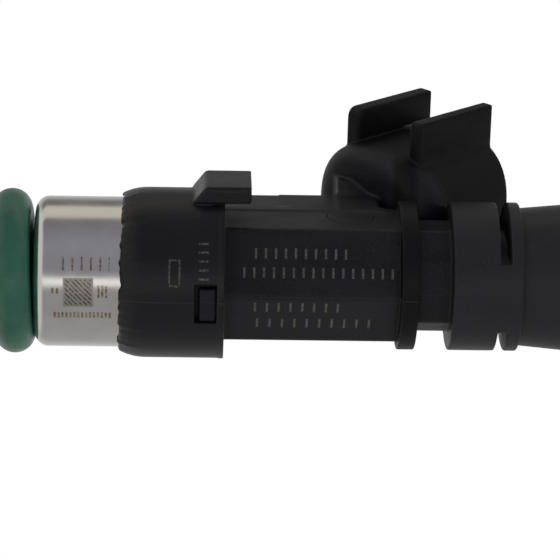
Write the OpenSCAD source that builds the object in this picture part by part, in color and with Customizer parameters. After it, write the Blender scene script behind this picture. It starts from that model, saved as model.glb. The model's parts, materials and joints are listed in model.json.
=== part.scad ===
// Port fuel injector with a top feed, long body and a slanted electrical socket.
// +Z runs along the injector axis from the spray tip to the fuel inlet, +X points to the socket's side
// and +Y to the side of the locating tab and the socket's fins. The origin is the centre of the tip face.

/* [Seals] */
// Outer diameter of both sealing rings
seal_od = 14.6; // [14.2:0.1:14.8]
// Thickness of both sealing rings
seal_section = 3.53; // [3.3:0.01:3.6]
// Height of the lower ring's centre above the tip
lower_seal_z = 6.35; // [6.3:0.01:6.38]
// Distance between the centres of the two rings
seal_spacing = 60.65; // [60.5:0.01:60.8]
// Tilt of the lower ring in its groove, in degrees
seal_tilt = 2; // [0:0.1:2]
// Direction in which the lower ring leans towards the tip, in degrees from the X axis
seal_lean_angle = 69.5; // [0:0.5:360]

/* [Fuel tube] */
// Radius of the tube through the body
tube_r = 3.0; // [2.9:0.05:3.1]
// Inner radius of the tube
tube_bore_r = 2.5; // [2.45:0.01:2.55]
// Radius of the tube where it carries a sealing ring
seal_land_r = 3.7; // [3.6:0.01:3.74]
// Inner radius of the widened inlet end
inlet_bore_r = 3.1; // [3.05:0.01:3.2]
// Radius of the flange that holds the upper ring
inlet_flange_r = 5.2; // [4.8:0.1:5.6]
// Height of the inlet end above the tip
tube_top = 71; // [70.5:0.1:72]

/* [Tip cap] */
// Radius of the cap below the lower ring
cap_r = 5.3; // [5:0.1:5.8]
// Height of the cap
cap_h = 4.35; // [4:0.05:4.35]
// Radius of the spray opening
cap_opening_r = 2.6; // [2:0.1:3]

/* [Magnet housing] */
// Radius of the steel housing
housing_r = 6.65; // [6.5:0.05:6.7]
// Height of the housing's lower face
housing_z = 8.35; // [8.35:0.05:8.6]
// Radius of the shoulder round the housing's lower face
shoulder_arc_r = 1.22; // [1:0.01:1.25]
// Height where the housing steps down under the moulding
housing_step_z = 20.3; // [19:0.1:20.4]
// Radius of the stepped part
housing_upper_r = 6.0; // [5.8:0.05:6]
// Height of the housing's upper end
housing_top = 24.3; // [24:0.1:24.5]
// Inner radius of the housing
housing_bore_r = 5.6; // [5.5:0.05:5.7]

/* [Locating ring] */
// Outer radius of the ring
ring_r = 7.55; // [7.35:0.05:7.8]
// Height of the ring's lower edge
ring_z = 15.45; // [15:0.05:16]
// Height of the ring's upper edge, which is the foot of the six-sided body
ring_top = 24.9; // [24.8:0.05:25]
// Width of the locating tab
tab_w = 5; // [4:0.1:6]
// Distance from the axis to the top of the tab
tab_t = 8.8; // [8.5:0.05:9]
// Height of the tab's free end
tab_top = 27.2; // [26.5:0.1:28]
// Half angle of the window in the ring
window_half_angle = 13.8; // [12:0.1:16]

/* [Body] */
// Distance from the axis to the six corners of the body
hex_r = 6.05; // [5.95:0.05:6.2]
// Radius of the two collars
collar_r = 6.6; // [6.5:0.01:6.65]
// Height of the first collar's lower face
collar_1_z = 40.3; // [40:0.1:40.5]
// Height of the second collar's lower face
collar_2_z = 44.8; // [44.5:0.1:45]
// Height of the clip slots' lower face
slot_z = 48.9; // [48.6:0.05:49.1]
// Height of the clip slots
slot_h = 0.9; // [0.85:0.05:1.1]
// Height of the second collar's upper face
collar_2_top = 50.9; // [50.7:0.05:51.1]
// Distance from the axis to the ten corners of the neck between the collars
neck_r = 4.95; // [4.8:0.05:5.1]
// Half width of the web left between the two clip slots
web_half_w = 3.13; // [2.8:0.01:3.5]
// Radius of the inlet cone at its thin end
cone_r = 6.1; // [6:0.05:6.2]
// Radius of the inlet cone at its wide end
cone_top_r = 6.7; // [6.5:0.05:6.8]
// Height of the shoulder under the upper ring
shoulder_z = 65.1; // [64.8:0.05:65.15]

/* [Socket] */
// Slope of the socket towards the inlet, in degrees
socket_slope = 47.2; // [46:0.1:48]
// Distance from the axis to the socket's centre line at the fins' rear
socket_x = 8.5; // [8.4:0.1:8.8]
// Height of that point above the tip
socket_z = 39.4; // [39.2:0.1:39.6]
// Offset of the socket's middle plane towards the fins' side
socket_y = 0.95; // [0.8:0.05:1]
// Length of the socket from the fins' rear to its mouth
socket_l = 9.5; // [9.3:0.05:9.6]
// Radius of the socket's rounded ends at the fins' rear
socket_r = 6.85; // [6.7:0.05:6.9]
// Radius of the rounded ends at the socket's mouth
socket_mouth_r = 6.95; // [6.9:0.05:7.15]
// Distance from the middle to the centres of the rounded ends
socket_half = 2.05; // [2:0.05:2.2]
// Wall of the socket
socket_wall = 1.1; // [1:0.1:1.4]

/* [Fins] */
// Distance from the socket's middle plane to the top of the lower fin
fin_a_top = 11; // [10.6:0.05:11.3]
// Distance from the socket's middle plane to the top of the upper fin
fin_b_top = 11.4; // [11:0.05:11.6]
// Thickness of the lower fin
fin_a_w = 1.6; // [1.4:0.1:1.7]
// Thickness of the upper fin
fin_b_w = 1.3; // [1.1:0.1:1.5]

/* [Terminals] */
// Width of a blade
blade_w = 1.5; // [1.2:0.1:1.6]
// Thickness of a blade
blade_t = 0.64; // [0.6:0.01:0.7]
// Distance between the two blades' centres
blade_pitch = 4.2; // [4:0.1:4.3]
// How far the blades reach into the socket from the fins' rear
blade_reach = 7; // [6:0.1:7.5]

/* [Valve] */
// How far the needle lifts
needle_lift = 0.09; // [0.06:0.01:0.12]
// Radius of the valve ball
ball_r = 1.5; // [1.4:0.05:1.6]
// Radius of the armature
armature_r = 2.45; // [2.4:0.01:2.46]
// Height of the armature's lower face
armature_z = 12; // [11.5:0.1:12.5]
// Length of the armature
armature_l = 6; // [5.5:0.1:6.5]
// Wire radius of the return spring
spring_wire_r = 0.17; // [0.14:0.01:0.18]
// Number of turns of the return spring
spring_turns = 11; // [8:1:12]

/* [Hidden] */
$fn = 96;
bite = 0.01;
hug = 0.02;
upper_seal_z = lower_seal_z + seal_spacing;
seal_mid_r = (seal_od - seal_section) / 2;

land_end_z = 9.4;
bell_z = 56;
bell_shift = 1.2;
tube_z = 1;
flange_z = upper_seal_z + seal_section / 2 + 0.2;
flange_h = 1.2;

cap_floor = 0.7;
disc_t = 0.25;

housing_floor = 1;
shoulder_arc_start = -70;
shoulder_h = -shoulder_arc_r * sin(shoulder_arc_start);

ring_bore_r = housing_r + 0.05;
ring_bevel_r = 6.9;
ring_bevel_h = 1.45;
bead_h = 0.7;
bead_r = ring_r + 0.1;
window_z = 22.35;
window_h = 1.9;
window_turn = 1.7;
tab_under = 7.3;
tab_ramp_z = 21.95;
tab_flat_z = 23.4;
lug_z = 22.75;
lug_h = 1.45;
lug_r = 7.35;
lug_half_angle = 12.1;
lug_turn = 2.7;
skirt_r = housing_r - 0.05;
skirt_gap = 0.1;

conduit_step_z = 29.8;
conduit_x = 6.75;
conduit_y = 5.17;
conduit_foot_x = 3;
conduit_step = 0.05;
gusset_z = 35.3;
gusset_y = 5.2;
gusset_top = 38.9;
gusset_root_x = 2;

collar_1_h = 1.5;
collar_1_bevel = 0.05;
collar_2_bevel = 0.15;
slot_floor_r = 5;
cone_top_z = 57.4;
cone_rim_bevel = 0.25;

socket_floor = 1.2;
socket_back_r = 2.2;
socket_back_z = 0.2;
fin_a_x = 3.19;
fin_b_x = 3.06;
fin_corner_r = 0.5;
fin_reach = 0.15;
fin_root = 5.2;
fin_back = 0.15;
lip_w = 1;
lip_h = 0.3;
lip_drop = 0.62;
lip_gap = 0.3;
pad_w = 0.5;
pad_top = 8.05;
pad_l = 5.7;

bobbin_z = 10.2;
bobbin_top = 20.6;
bobbin_flange_r = 5.5;
bobbin_flange_h = 0.7;
bobbin_barrel_r = 3.4;
winding_r = 5.3;
washer_z = 20.7;
washer_h = 1.6;
washer_r = housing_bore_r - 0.05;
plug_z = washer_z + washer_h + 0.1;

blade_x = 3.7;
blade_foot_z = bobbin_top + 0.05;
blade_bend_z = socket_z - (socket_x - blade_x) * tan(socket_slope);
blade_notch_x = 3.2;

seat_r = tube_bore_r - hug;
seat_top = 4;
seat_hole_r = 0.6;
seat_cone_z = 1.6;
seat_guide_r = ball_r + 0.03;
ball_z = seat_cone_z - seat_hole_r + ball_r * sqrt(2) + 0.01;
needle_r = 1;
needle_bore_r = 0.65;
needle_z = ball_z + sqrt(ball_r * ball_r - needle_r * needle_r);
needle_top = armature_z + 1;
spring_cup_r = 1.25;
spring_cup_z = armature_z + 3.5;
armature_top = armature_z + armature_l;
pole_z = armature_top + needle_lift + hug;
pole_top = 30;
pole_bore_r = 1.27;
sleeve_z = 25.5;
sleeve_top = 30.5;
spring_r = 0.95;
spring_steps = 14;
spring_sides = 6;

filter_z = 58;
filter_cap_z = 66;
filter_top = 70.2;
filter_cage_r = 2.5;
filter_mesh_r = 2.08;

// A ring with a rectangular section, standing on z.
module tube(outer, inner, z, h) {
  translate([0, 0, z])
    difference() {
      cylinder(r = outer, h = h);
      translate([0, 0, -1]) cylinder(r = inner, h = h + 2);
    }
}

// A solid disc standing on z.
module disc(r, z, h) {
  translate([0, 0, z]) cylinder(r = r, h = h);
}

// A disc with both rims bevelled.
module collar(r, z, h, bevel) {
  translate([0, 0, z])
    rotate_extrude()
      polygon([[0, 0], [r - bevel, 0], [r, bevel], [r, h - bevel], [r - bevel, h], [0, h]]);
}

// A wedge of a disc near the -X direction, turned a little towards -Y.
module back_wedge(half_angle, turn, z, h) {
  reach = 2 * ring_r;
  translate([0, 0, z])
    rotate([0, 0, turn])
      linear_extrude(h)
        polygon([[0, 0], [-reach, reach * tan(half_angle)], [-reach, -reach * tan(half_angle)]]);
}

// The socket's own frame: Z along its centre line, Y across its long side, X away from the inlet.
module in_socket() {
  translate([socket_x, socket_y, socket_z]) rotate([0, 90 - socket_slope, 0]) children();
}

// An oval solid from a profile of radius and height: two half lathes with a straight stretch between.
module oval(profile) {
  for (side = [0, 180])
    rotate([0, 0, side]) translate([0, socket_half, 0]) rotate_extrude(angle = 180) polygon(profile);
  rotate([90, 0, 0])
    linear_extrude(2 * socket_half, center = true)
      for (side = [0, 1])
        mirror([side, 0]) polygon(profile);
}

// A flat fin beside the socket, from behind its rear to beyond its mouth, with a rounded front corner.
module fin(x, w, top) {
  front = socket_l + fin_reach;
  translate([x, 0, 0])
    rotate([90, 0, 90])
      linear_extrude(w) {
        translate([fin_root, -fin_back]) square([top - fin_root, front - fin_corner_r + fin_back]);
        translate([fin_root, -fin_back]) square([top - fin_root - fin_corner_r, front + fin_back]);
        translate([top - fin_corner_r, front - fin_corner_r]) circle(r = fin_corner_r);
      }
}

// One wire of the connector: a strip up the body, then a blade along the socket's centre line.
module terminal(side) {
  half = blade_t / 2;
  run = (socket_x - blade_x) / cos(socket_slope);
  color("silver")
    translate([0, socket_y + side * blade_pitch / 2 - blade_w / 2, 0]) {
      translate([blade_x - half, 0, blade_foot_z]) cube([blade_t, blade_w, blade_bend_z - blade_foot_z]);
      translate([blade_x, 0, blade_bend_z]) rotate([-90, 0, 0]) cylinder(r = half, h = blade_w);
      translate([blade_x, blade_w, blade_bend_z])
        rotate([0, 90 - socket_slope, 0])
          rotate([90, 0, 0])
            linear_extrude(blade_w)
              polygon([
                [-half, 0], [half, 0], [half, run + blade_reach - 0.8], [half / 3, run + blade_reach],
                [-half / 3, run + blade_reach], [-half, run + blade_reach - 0.8]
              ]);
    }
}

module terminal_left() {
  terminal(1);
}

module terminal_right() {
  terminal(-1);
}

// The outside of the socket with its rounded back, its fins and its pad.
module socket_shell() {
  in_socket() {
    oval(concat(
      [[0, -socket_back_z - socket_back_r]],
      [for (a = [-90:10:0]) [
        socket_r - socket_back_r + socket_back_r * cos(a), -socket_back_z + socket_back_r * sin(a)
      ]],
      [[socket_mouth_r, socket_l], [0, socket_l]]
    ));
    fin(fin_a_x, fin_a_w, fin_a_top);
    fin(-fin_b_x - fin_b_w, fin_b_w, fin_b_top);
    translate([-fin_b_x - bite, fin_b_top - lip_drop - lip_h, 0]) cube([lip_w, lip_h, socket_l - lip_gap]);
    translate([fin_a_x - pad_w, fin_root, 0]) cube([pad_w + bite, pad_top - fin_root, pad_l]);
  }
}

// The web that joins the socket's back to the side of the body.
module gusset() {
  translate([0, gusset_y, 0])
    rotate([90, 0, 0])
      linear_extrude(2 * gusset_y)
        polygon([
          [gusset_root_x, gusset_z], [11.6, gusset_z], [11.2, gusset_z + 1.65], [9.5, gusset_top - 0.6],
          [4.1, gusset_top], [gusset_root_x, gusset_top]
        ]);
}

// The channel along the +X side that covers the two wires.
module conduit(z, top, x, y) {
  flat = hex_r * cos(30);
  translate([0, 0, z])
    linear_extrude(top - z)
      polygon([
        [gusset_root_x, flat], [conduit_foot_x, flat], [x, y],
        [x, -y], [conduit_foot_x, -flat], [gusset_root_x, -flat]
      ]);
}

// The cavity of the socket.
module socket_cavity() {
  run = socket_l - socket_floor;
  in_socket()
    translate([0, 0, socket_floor])
      oval([[0, 0], [socket_r - socket_wall, 0], [socket_mouth_r - socket_wall, run], [0, run + 1]]);
}

// One clip slot, cut from the +Y side.
module clip_slot() {
  reach = 2 * collar_r;
  difference() {
    translate([-reach / 2, web_half_w, slot_z]) cube([reach, reach, slot_h]);
    disc(slot_floor_r, slot_z - 1, slot_h + 2);
  }
}

// The cone from the second collar to the shoulder under the upper ring.
module inlet_cone() {
  rotate_extrude()
    polygon([
      [0, collar_2_top - bite], [cone_r, collar_2_top - bite], [cone_top_r, cone_top_z],
      [cone_top_r, shoulder_z - cone_rim_bevel], [cone_top_r - cone_rim_bevel, shoulder_z], [0, shoulder_z]
    ]);
}

module overmould() {
  skirt_z = housing_step_z + skirt_gap;
  groove_h = housing_top - housing_step_z + 1.1;
  color([0.12, 0.12, 0.13])
    difference() {
      union() {
        disc(skirt_r, skirt_z, ring_top - skirt_z);
        intersection() {
          disc(lug_r, lug_z, lug_h);
          back_wedge(lug_half_angle, lug_turn, lug_z, lug_h);
        }
        disc(hex_r, ring_top - bite, collar_1_z - ring_top + 2 * bite, $fn = 6);
        conduit(ring_top - bite, conduit_step_z + bite, conduit_x - conduit_step, conduit_y - conduit_step);
        conduit(conduit_step_z, gusset_top - 0.4, conduit_x, conduit_y);
        gusset();
        socket_shell();
        collar(collar_r, collar_1_z, collar_1_h, collar_1_bevel);
        disc(neck_r, collar_1_z + 1, collar_2_z - collar_1_z, $fn = 10);
        collar(collar_r, collar_2_z, collar_2_top - collar_2_z, collar_2_bevel);
        inlet_cone();
      }
      clip_slot();
      mirror([0, 1, 0]) clip_slot();
      disc(tube_r + hug, 15, 60);
      disc(seal_land_r + hug, bell_z, 20);
      tube(housing_upper_r + hug, housing_bore_r - 0.05, housing_step_z - 1, groove_h);
      disc(housing_bore_r, housing_step_z - 1, plug_z - housing_step_z + 1);
      socket_cavity();
      terminal(1);
      terminal(-1);
    }
}

module locating_ring() {
  color([0.14, 0.14, 0.15])
    difference() {
      union() {
        translate([0, 0, ring_z])
          rotate_extrude()
            polygon([
              [0, 0], [ring_bevel_r, 0], [ring_r - 0.1, ring_bevel_h - 0.4], [ring_r, ring_bevel_h],
              [ring_r, ring_top - ring_z - bead_h], [bead_r, ring_top - ring_z - bead_h + 0.1],
              [bead_r, ring_top - ring_z - 0.1], [bead_r - 0.1, ring_top - ring_z], [0, ring_top - ring_z]
            ]);
        translate([tab_w / 2, 0, 0])
          rotate([90, 0, -90])
            mirror([1, 0, 0])
              linear_extrude(tab_w)
                polygon([
                  [tab_under, tab_ramp_z], [tab_under + 0.15, tab_ramp_z], [tab_t, tab_flat_z],
                  [tab_t, tab_top - 0.3], [tab_t - 0.3, tab_top], [tab_under, tab_top]
                ]);
      }
      disc(ring_bore_r, ring_z - 1, ring_top - ring_z + 2);
      back_wedge(window_half_angle, window_turn, window_z, window_h);
    }
}

module magnet_housing() {
  arc_x = housing_r - shoulder_arc_r;
  step_h = housing_step_z - housing_z;
  top_h = housing_top - housing_z;
  color([0.75, 0.74, 0.72])
    translate([0, 0, housing_z])
      difference() {
        rotate_extrude()
          polygon(concat(
            [[0, 0]],
            [for (a = [shoulder_arc_start:10:0]) [
              arc_x + shoulder_arc_r * cos(a), shoulder_h + shoulder_arc_r * sin(a)
            ]],
            [[housing_r, step_h], [housing_upper_r, step_h], [housing_upper_r, top_h], [0, top_h]]
          ));
        translate([0, 0, housing_floor]) cylinder(r = housing_bore_r, h = housing_top);
        translate([0, 0, -1]) cylinder(r = seal_land_r + hug, h = housing_floor + 2);
      }
}

module fuel_tube() {
  color([0.8, 0.8, 0.78])
    rotate_extrude()
      polygon([
        [tube_bore_r, tube_z], [seal_land_r, tube_z], [seal_land_r, land_end_z], [tube_r, land_end_z],
        [tube_r, bell_z], [seal_land_r, bell_z + bell_shift], [seal_land_r, flange_z],
        [inlet_flange_r, flange_z], [inlet_flange_r, flange_z + flange_h], [seal_land_r, tube_top],
        [inlet_bore_r, tube_top], [inlet_bore_r, bell_z + bell_shift], [tube_bore_r, bell_z]
      ]);
}

module tip_cap() {
  color([0.16, 0.16, 0.17])
    difference() {
      rotate_extrude()
        polygon([[0, 0], [cap_r, 0], [cap_r, cap_h], [0, cap_h]]);
      disc(seal_land_r + hug, cap_floor, cap_h);
      disc(cap_opening_r, -1, cap_h);
    }
}

module lower_seal() {
  color([0.1, 0.4, 0.3])
    translate([0, 0, lower_seal_z])
      rotate([0, 0, seal_lean_angle])
        rotate([0, seal_tilt, 0])
          rotate_extrude()
            translate([seal_mid_r, 0]) circle(r = seal_section / 2, $fn = 64);
}

module upper_seal() {
  color([0.1, 0.4, 0.3])
    translate([0, 0, upper_seal_z])
      rotate_extrude()
        translate([seal_mid_r, 0]) circle(r = seal_section / 2, $fn = 64);
}

module coil_bobbin() {
  bore = tube_r + hug;
  barrel_h = bobbin_top - bobbin_z - 2 * bobbin_flange_h + 2 * bite;
  color([0.25, 0.18, 0.12]) {
    tube(bobbin_flange_r, bore, bobbin_z, bobbin_flange_h);
    tube(bobbin_barrel_r, bore, bobbin_z + bobbin_flange_h - bite, barrel_h);
    tube(bobbin_flange_r, bore, bobbin_top - bobbin_flange_h, bobbin_flange_h);
  }
}

module coil_winding() {
  rows = 22;
  z0 = bobbin_z + bobbin_flange_h + hug;
  h = bobbin_top - bobbin_z - 2 * bobbin_flange_h - 2 * hug;
  pitch = h / rows;
  dip = 0.08;
  color([0.72, 0.4, 0.2])
    translate([0, 0, z0])
      rotate_extrude()
        polygon(concat(
          [[bobbin_barrel_r + hug, 0]],
          [for (i = [0:2 * rows]) [winding_r - (i % 2 == 0 ? dip : 0), i * pitch / 2]],
          [[bobbin_barrel_r + hug, h]]
        ));
}

module flux_washer() {
  color([0.6, 0.6, 0.6])
    difference() {
      tube(washer_r, tube_r + hug, washer_z, washer_h);
      translate([blade_notch_x, socket_y - blade_pitch / 2 - blade_w, washer_z - 1])
        cube([washer_r, blade_pitch + 2 * blade_w, washer_h + 2]);
    }
}

module pole_core() {
  color([0.62, 0.62, 0.64])
    tube(tube_bore_r - bite, pole_bore_r, pole_z, pole_top - pole_z);
}

module adjusting_sleeve() {
  color([0.8, 0.72, 0.5])
    tube(pole_bore_r - bite, 0.8, sleeve_z, sleeve_top - sleeve_z);
}

// A coil spring: rings of points along a helix, joined into a closed skin.
module return_spring() {
  count = spring_turns * spring_steps;
  low = spring_cup_z + spring_wire_r + bite;
  high = sleeve_z - spring_wire_r - bite;
  points = [
    for (i = [0:count], j = [0:spring_sides - 1])
      let (a = 360 * i / spring_steps, b = 360 * j / spring_sides, r = spring_r + spring_wire_r * cos(b))
        [r * cos(a), r * sin(a), low + (high - low) * i / count + spring_wire_r * sin(b)]
  ];
  skin = [
    for (i = [0:count - 1], j = [0:spring_sides - 1])
      let (k = (j + 1) % spring_sides, here = i * spring_sides, there = here + spring_sides)
        [here + j, here + k, there + k, there + j]
  ];
  first = [for (j = [0:spring_sides - 1]) spring_sides - 1 - j];
  last = [for (j = [0:spring_sides - 1]) count * spring_sides + j];
  color([0.5, 0.52, 0.55]) polyhedron(points, concat([first, last], skin));
}

module armature() {
  color([0.58, 0.58, 0.6])
    difference() {
      disc(armature_r, armature_z, armature_l);
      disc(needle_r + bite, armature_z - 1, needle_top - armature_z + 1);
      disc(needle_bore_r, armature_z, armature_l);
      disc(spring_cup_r, spring_cup_z, armature_l);
    }
}

module valve_needle() {
  color([0.7, 0.7, 0.7])
    difference() {
      tube(needle_r, needle_bore_r, needle_z, needle_top - needle_z);
      translate([0, 0, needle_z + 2]) rotate([90, 0, 0]) cylinder(r = 0.4, h = 4, center = true);
    }
}

module valve_ball() {
  color([0.85, 0.85, 0.85])
    difference() {
      translate([0, 0, ball_z]) sphere(r = ball_r);
      translate([-2, -2, needle_z]) cube([4, 4, 2]);
    }
}

module valve_seat() {
  flow_w = 0.7;
  color([0.66, 0.66, 0.68])
    difference() {
      disc(seat_r, tube_z, seat_top - tube_z);
      disc(seat_hole_r, 0, seat_top);
      translate([0, 0, seat_cone_z])
        cylinder(r1 = seat_hole_r, r2 = seat_guide_r, h = seat_guide_r - seat_hole_r);
      disc(seat_guide_r, seat_cone_z + seat_guide_r - seat_hole_r - bite, seat_top);
      for (turn = [0:90:270])
        rotate([0, 0, turn])
          translate([0, -flow_w / 2, seat_cone_z + 1.1]) cube([2, flow_w, seat_top]);
    }
}

module spray_disc() {
  holes = 4;
  color([0.78, 0.78, 0.76])
    difference() {
      disc(seal_land_r - 0.3, tube_z - disc_t, disc_t);
      for (turn = [0:360 / holes:359])
        rotate([0, 0, turn + 45])
          translate([0.4, 0, 0]) cylinder(r = 0.1, h = 2);
    }
}

module filter_collar() {
  color([0.78, 0.6, 0.3])
    tube(inlet_bore_r - hug, filter_cage_r + hug, filter_cap_z, filter_top - filter_cap_z + 0.3);
}

module filter_frame() {
  ribs = 4;
  rib_w = 0.8;
  color([0.85, 0.85, 0.8]) {
    tube(filter_cage_r, filter_mesh_r - 0.1, filter_cap_z, filter_top - filter_cap_z);
    disc(filter_cage_r, filter_z, 0.6);
    intersection() {
      tube(filter_cage_r, filter_mesh_r + hug, filter_z + 0.5, filter_cap_z - filter_z - 0.4);
      for (turn = [0:360 / ribs:359])
        rotate([0, 0, turn])
          translate([0, -rib_w / 2, filter_z]) cube([3, rib_w, filter_cap_z - filter_z + 1]);
    }
  }
}

module filter_mesh() {
  color([0.9, 0.9, 0.86])
    tube(filter_mesh_r, filter_mesh_r - 0.12, filter_z + 0.62, filter_cap_z - filter_z - 0.64);
}

overmould();
locating_ring();
magnet_housing();
fuel_tube();
tip_cap();
lower_seal();
upper_seal();
coil_bobbin();
coil_winding();
flux_washer();
terminal_left();
terminal_right();
pole_core();
adjusting_sleeve();
return_spring();
armature();
valve_needle();
valve_ball();
valve_seat();
spray_disc();
filter_collar();
filter_frame();
filter_mesh();
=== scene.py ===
import json
import math

import bpy
import numpy as np
import openvdb
from mathutils import Matrix, Vector

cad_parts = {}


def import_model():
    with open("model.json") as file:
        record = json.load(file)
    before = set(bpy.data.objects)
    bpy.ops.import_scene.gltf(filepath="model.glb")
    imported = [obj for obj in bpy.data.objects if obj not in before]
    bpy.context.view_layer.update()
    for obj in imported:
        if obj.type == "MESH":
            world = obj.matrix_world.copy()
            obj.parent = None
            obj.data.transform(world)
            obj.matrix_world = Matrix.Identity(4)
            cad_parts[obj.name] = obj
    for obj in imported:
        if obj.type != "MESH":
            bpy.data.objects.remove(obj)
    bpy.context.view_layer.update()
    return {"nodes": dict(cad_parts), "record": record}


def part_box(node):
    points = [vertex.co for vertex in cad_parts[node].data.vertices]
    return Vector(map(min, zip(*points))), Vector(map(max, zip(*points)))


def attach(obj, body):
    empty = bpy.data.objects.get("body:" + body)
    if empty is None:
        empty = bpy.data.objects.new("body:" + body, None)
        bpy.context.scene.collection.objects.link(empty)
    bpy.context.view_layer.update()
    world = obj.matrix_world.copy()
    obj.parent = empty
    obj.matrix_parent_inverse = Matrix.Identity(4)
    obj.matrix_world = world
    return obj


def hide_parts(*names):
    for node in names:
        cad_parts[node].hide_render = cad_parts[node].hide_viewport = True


# A port fuel injector. Lengths here are millimetres until a mesh is made; the frame is in metres.
MM = 0.001
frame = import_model()


def cad(node):
    """The lowest and highest corner of a CAD node, in millimetres."""
    low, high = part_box(node)
    return np.array(low) / MM, np.array(high) / MM


# ---------------------------------------------------------------- sizes
RING_LOW, RING_HIGH = cad("locating_ring")
HOUSING_LOW, HOUSING_HIGH = cad("magnet_housing")
TUBE_LOW, TUBE_HIGH = cad("fuel_tube")
CAP_HIGH = cad("tip_cap")[1]
UPPER_LOW, UPPER_HIGH = cad("upper_seal")
LOWER_LOW, LOWER_HIGH = cad("lower_seal")
BODY_LOW, BODY_HIGH = cad("overmould")

HUG = 0.02
TUBE_R, TUBE_BORE_R, LAND_R, INLET_BORE_R = 3.0, 2.5, 3.7, 3.1
LAND_END_Z, BELL_Z, BELL_TOP_Z = 9.4, 56.0, 57.2

HOUSING_R, HOUSING_BORE_R, HOUSING_UPPER_R = HOUSING_HIGH[0], 5.6, 6.0
HOUSING_Z, HOUSING_STEP_Z, HOUSING_TOP = HOUSING_LOW[2], 20.3, HOUSING_HIGH[2]
HOUSING_WALL, HOUSING_ARC_R, HOUSING_ARC_START = 1.0, 1.22, -70
CAP_OPENING_R, CAP_FLOOR = 2.6, 0.7
SEAL_OD, SEAL_SECTION, SEAL_TURN = 14.6, 3.53, 69.5

RING_R, RING_Z, RING_TOP = 7.55, RING_LOW[2], 24.9
TAB_HALF, TAB_UNDER, TAB_T, TAB_TOP = 2.5, 7.3, RING_HIGH[1], RING_HIGH[2]
TAB_RAMP_R, TAB_RAMP_Z, TAB_FLAT_Z = 7.45, 22.15, 23.2
WINDOW_Z, WINDOW_TOP = 22.35, 24.25
WINDOW_HALF, WINDOW_TURN = math.radians(13.8), math.radians(1.7)
LUG_Z, LUG_TOP, LUG_R = 22.75, 24.2, 7.35
LUG_HALF, LUG_TURN = math.radians(12.1), math.radians(2.7)

HEX_R, SKIRT_R = 6.05, 6.6
HEX_FLAT = HEX_R * math.cos(math.radians(30))
COLLAR_R = 6.6
COLLAR_1_Z, COLLAR_1_TOP = 40.3, 41.8
COLLAR_2_Z, COLLAR_2_TOP = 44.8, 50.9
SLOT_Z, SLOT_TOP, SLOT_FLOOR_R, WEB_HALF = 48.9, 49.8, 5.0, 3.13
NECK_R = 4.95
CONE_R, CONE_TOP_R, CONE_TOP_Z, SHOULDER_Z = 6.1, 6.7, 57.4, BODY_HIGH[2]
CHANNEL_STEP_Z, CHANNEL_X, CHANNEL_Y, CHANNEL_FOOT_X = 29.8, 6.75, 5.17, 3.0
GUSSET_Z, GUSSET_TOP, GUSSET_HALF, GUSSET_FLARE = 35.1, 38.9, 5.15, 0.95

SLOPE = math.radians(47.2)
SOCKET_X, SOCKET_Y, SOCKET_Z, SOCKET_L = 8.5, 0.95, 39.4, 9.5
SOCKET_R, SOCKET_MOUTH_R, SOCKET_HALF, SOCKET_WALL = 6.85, 6.87, 2.05, 1.1
SOCKET_END_R, SOCKET_POWER = 6.25, 2.6
SOCKET_FLOOR, SOCKET_BACK_R, SOCKET_BACK = 1.2, 2.7, -0.3
FIN_CORNER, FIN_ROOT, FIN_BACK, FIN_FRONT = 0.15, 6.15, 0.15, 9.65
FIN_A_X, FIN_A_W, FIN_A_TOP = 3.19, 1.6, 11.95
FIN_B_X, FIN_B_W, FIN_B_TOP = -4.36, 1.3, 12.35
LIP_W, LIP_H, LIP_DROP, LIP_L = 1.0, 0.3, 0.62, 9.2
PAD_W, PAD_TOP, PAD_L = 0.5, 8.97, 5.7

BLADE_W, BLADE_T, BLADE_PITCH, BLADE_REACH = 1.5, 0.64, 4.2, 7.0
BLADE_X, BLADE_FOOT_Z, BLADE_BEND, BLADE_LEAD = 3.7, 20.65, 0.6, 0.8

# Directions across the injector's axis: away from the camera, and upwards in the picture.
AWAY = Vector((0.9367, -0.3502, 0))
UPWARD = Vector((0.3502, 0.9367, 0))


# ---------------------------------------------------------------- distance fields
class Field:
    """A grid of sample points in millimetres. Shapes on it are signed distances, negative inside."""

    def __init__(self, low, high, step):
        self.step = step
        self.low = np.asarray(low, float) - 3 * step
        count = np.ceil((np.asarray(high, float) - self.low) / step).astype(int) + 4
        axes = [(self.low[i] + step * np.arange(count[i])).astype(np.float32) for i in range(3)]
        self.x = axes[0][:, None, None]
        self.y = axes[1][None, :, None]
        self.z = axes[2][None, None, :]
        self.r = np.hypot(self.x, self.y)

    def slab(self, outline, low, high, edge):
        """An outline in the XY plane given a height range, its rims rounded by edge."""
        return smooth_max(outline, np.maximum(low - self.z, self.z - high), edge)


def smooth_min(a, b, k):
    """The union of two shapes, with a fillet of about k."""
    h = np.maximum(k - np.abs(a - b), 0)
    return np.minimum(a, b) - h * h / (4 * k)


def smooth_max(a, b, k):
    """The intersection of two shapes, with their common edge rounded by about k."""
    h = np.maximum(k - np.abs(a - b), 0)
    return np.maximum(a, b) + h * h / (4 * k)


def wedge(field, half, turn):
    """A wedge of space round the -X direction, turned a little towards -Y."""
    c, s = math.cos(turn), math.sin(turn)
    along = -(field.x * c + field.y * s)
    across = np.abs(field.y * c - field.x * s)
    return across * math.cos(half) - along * math.sin(half)


def sample(data, at):
    """Values of a grid at fractional indices, by trilinear interpolation."""
    base = np.clip(np.floor(at).astype(int), 0, np.array(data.shape) - 2)
    f = at - base
    total = np.zeros(len(at))
    for corner in range(8):
        bit = np.array([(corner >> axis) & 1 for axis in range(3)])
        weight = np.prod(np.where(bit, f, 1 - f), axis=1)
        i, j, k = (base + bit).T
        total += weight * data[i, j, k]
    return total


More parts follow.
